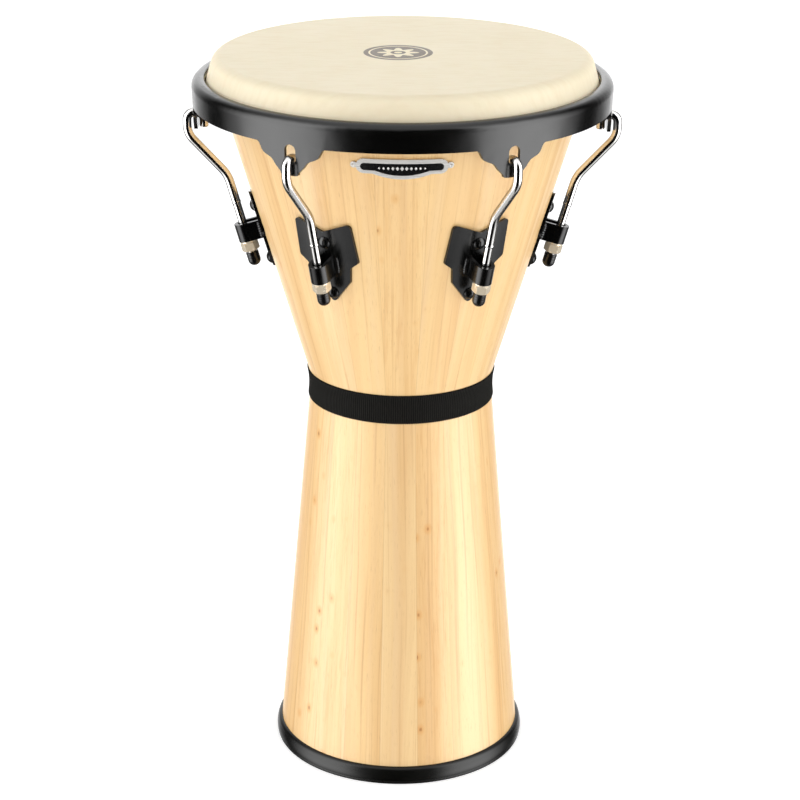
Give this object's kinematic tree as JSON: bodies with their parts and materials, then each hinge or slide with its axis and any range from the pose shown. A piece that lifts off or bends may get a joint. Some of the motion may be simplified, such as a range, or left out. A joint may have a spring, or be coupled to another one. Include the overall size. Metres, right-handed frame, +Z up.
{
  "type": "djembe",
  "caption": "Goblet hand drum with a stave shell, natural-look head, steel rim on tuning hooks, waist strap and rubber foot ring",
  "frame": {"origin": "centre of the foot, on the floor the drum stands on", "axes": "+Z up the drum's axis, the nameplate faces -Y"},
  "size_m": [0.3576, 0.341, 0.609],
  "materials": {
    "rubberwood": "satin lacquer over pale straight-grained rubberwood",
    "black_powder": "black satin powder coat",
    "plated_steel": "polished plate",
    "zinc_steel": "plain zinc plate",
    "black_rubber": "satin moulded rubber",
    "black_vinyl": "soft glossy vinyl",
    "webbing": "ribbed woven webbing",
    "head_skin": "matte cream skin, slightly mottled",
    "hoop_metal": "dull rolled wire",
    "badge_metal": "satin cast",
    "badge_black": "glossy enamel"
  },
  "bodies": {
    "shell": {"bowl_staves": "rubberwood", "stem_staves": "rubberwood", "base_ring": "black_rubber", "waist_strap": "webbing", "drumhead_skin": "head_skin", "side_plate_bolts": "black_powder", "bolt_washers": "zinc_steel", "bolt_nuts": "zinc_steel", "nameplate_frame": "badge_metal", "nameplate_inset": "badge_black", "nameplate_nails": "badge_metal", "side_plate_1": "black_powder", "lug_bracket_1": "black_powder", "lug_washer_1": "plated_steel", "side_plate_2": "black_powder", "lug_bracket_2": "black_powder", "lug_washer_2": "plated_steel", "side_plate_3": "black_powder", "lug_bracket_3": "black_powder", "lug_washer_3": "plated_steel", "side_plate_4": "black_powder", "lug_bracket_4": "black_powder", "lug_washer_4": "plated_steel", "side_plate_5": "black_powder", "lug_bracket_5": "black_powder", "lug_washer_5": "plated_steel", "side_plate_6": "black_powder", "lug_bracket_6": "black_powder", "lug_washer_6": "plated_steel"},
    "rim": {"rim": "black_powder", "flesh_hoop": "hoop_metal"},
    "lug_1": {"lug_rod_1": "plated_steel", "lug_cap_1": "black_vinyl"},
    "nut_1": {"lug_nut_1": "plated_steel"},
    "lug_2": {"lug_rod_2": "plated_steel", "lug_cap_2": "black_vinyl"},
    "nut_2": {"lug_nut_2": "plated_steel"},
    "lug_3": {"lug_rod_3": "plated_steel", "lug_cap_3": "black_vinyl"},
    "nut_3": {"lug_nut_3": "plated_steel"},
    "lug_4": {"lug_rod_4": "plated_steel", "lug_cap_4": "black_vinyl"},
    "nut_4": {"lug_nut_4": "plated_steel"},
    "lug_5": {"lug_rod_5": "plated_steel", "lug_cap_5": "black_vinyl"},
    "nut_5": {"lug_nut_5": "plated_steel"},
    "lug_6": {"lug_rod_6": "plated_steel", "lug_cap_6": "black_vinyl"},
    "nut_6": {"lug_nut_6": "plated_steel"}
  },
  "joints": [
    {"name": "rim_slide", "type": "slide", "parent": "shell", "child": "rim", "axis": [0, 0, 1], "range_m": [-0.004, 0.001], "deforming": ["drumhead_skin"]},
    {"name": "lug_slide_1", "type": "slide", "parent": "shell", "child": "lug_1", "axis": [0.1378, -0.2387, 0.9613], "range_m": [-0.0043, 0.0011]},
    {"name": "nut_turn_1", "type": "hinge", "parent": "shell", "child": "nut_1", "pos_m": [0.06282, -0.10881, 0.44621], "axis": [0.1378, -0.2387, 0.9613], "range_deg": [-320, 1220]},
    {"name": "lug_slide_2", "type": "slide", "parent": "shell", "child": "lug_2", "axis": [0.2756, 0, 0.9613], "range_m": [-0.0043, 0.0011]},
    {"name": "nut_turn_2", "type": "hinge", "parent": "shell", "child": "nut_2", "pos_m": [0.12564, 0, 0.44621], "axis": [0.2756, 0, 0.9613], "range_deg": [-320, 1220]},
    {"name": "lug_slide_3", "type": "slide", "parent": "shell", "child": "lug_3", "axis": [0.1378, 0.2387, 0.9613], "range_m": [-0.0043, 0.0011]},
    {"name": "nut_turn_3", "type": "hinge", "parent": "shell", "child": "nut_3", "pos_m": [0.06282, 0.10881, 0.44621], "axis": [0.1378, 0.2387, 0.9613], "range_deg": [-320, 1220]},
    {"name": "lug_slide_4", "type": "slide", "parent": "shell", "child": "lug_4", "axis": [-0.1378, 0.2387, 0.9613], "range_m": [-0.0043, 0.0011]},
    {"name": "nut_turn_4", "type": "hinge", "parent": "shell", "child": "nut_4", "pos_m": [-0.06282, 0.10881, 0.44621], "axis": [-0.1378, 0.2387, 0.9613], "range_deg": [-320, 1220]},
    {"name": "lug_slide_5", "type": "slide", "parent": "shell", "child": "lug_5", "axis": [-0.2756, 0, 0.9613], "range_m": [-0.0043, 0.0011]},
    {"name": "nut_turn_5", "type": "hinge", "parent": "shell", "child": "nut_5", "pos_m": [-0.12564, 0, 0.44621], "axis": [-0.2756, 0, 0.9613], "range_deg": [-320, 1220]},
    {"name": "lug_slide_6", "type": "slide", "parent": "shell", "child": "lug_6", "axis": [-0.1378, -0.2387, 0.9613], "range_m": [-0.0043, 0.0011]},
    {"name": "nut_turn_6", "type": "hinge", "parent": "shell", "child": "nut_6", "pos_m": [-0.06282, -0.10881, 0.44621], "axis": [-0.1378, -0.2387, 0.9613], "range_deg": [-320, 1220]}
  ],
  "couplings": [
    {"joint": "lug_slide_1", "follows": "rim_slide", "ratio": 1.0403},
    {"joint": "nut_turn_1", "follows": "rim_slide", "rad_per_m": -5229.1},
    {"joint": "lug_slide_2", "follows": "rim_slide", "ratio": 1.0403},
    {"joint": "nut_turn_2", "follows": "rim_slide", "rad_per_m": -5229.1},
    {"joint": "lug_slide_3", "follows": "rim_slide", "ratio": 1.0403},
    {"joint": "nut_turn_3", "follows": "rim_slide", "rad_per_m": -5229.1},
    {"joint": "lug_slide_4", "follows": "rim_slide", "ratio": 1.0403},
    {"joint": "nut_turn_4", "follows": "rim_slide", "rad_per_m": -5229.1},
    {"joint": "lug_slide_5", "follows": "rim_slide", "ratio": 1.0403},
    {"joint": "nut_turn_5", "follows": "rim_slide", "rad_per_m": -5229.1},
    {"joint": "lug_slide_6", "follows": "rim_slide", "ratio": 1.0403},
    {"joint": "nut_turn_6", "follows": "rim_slide", "rad_per_m": -5229.1}
  ]
}
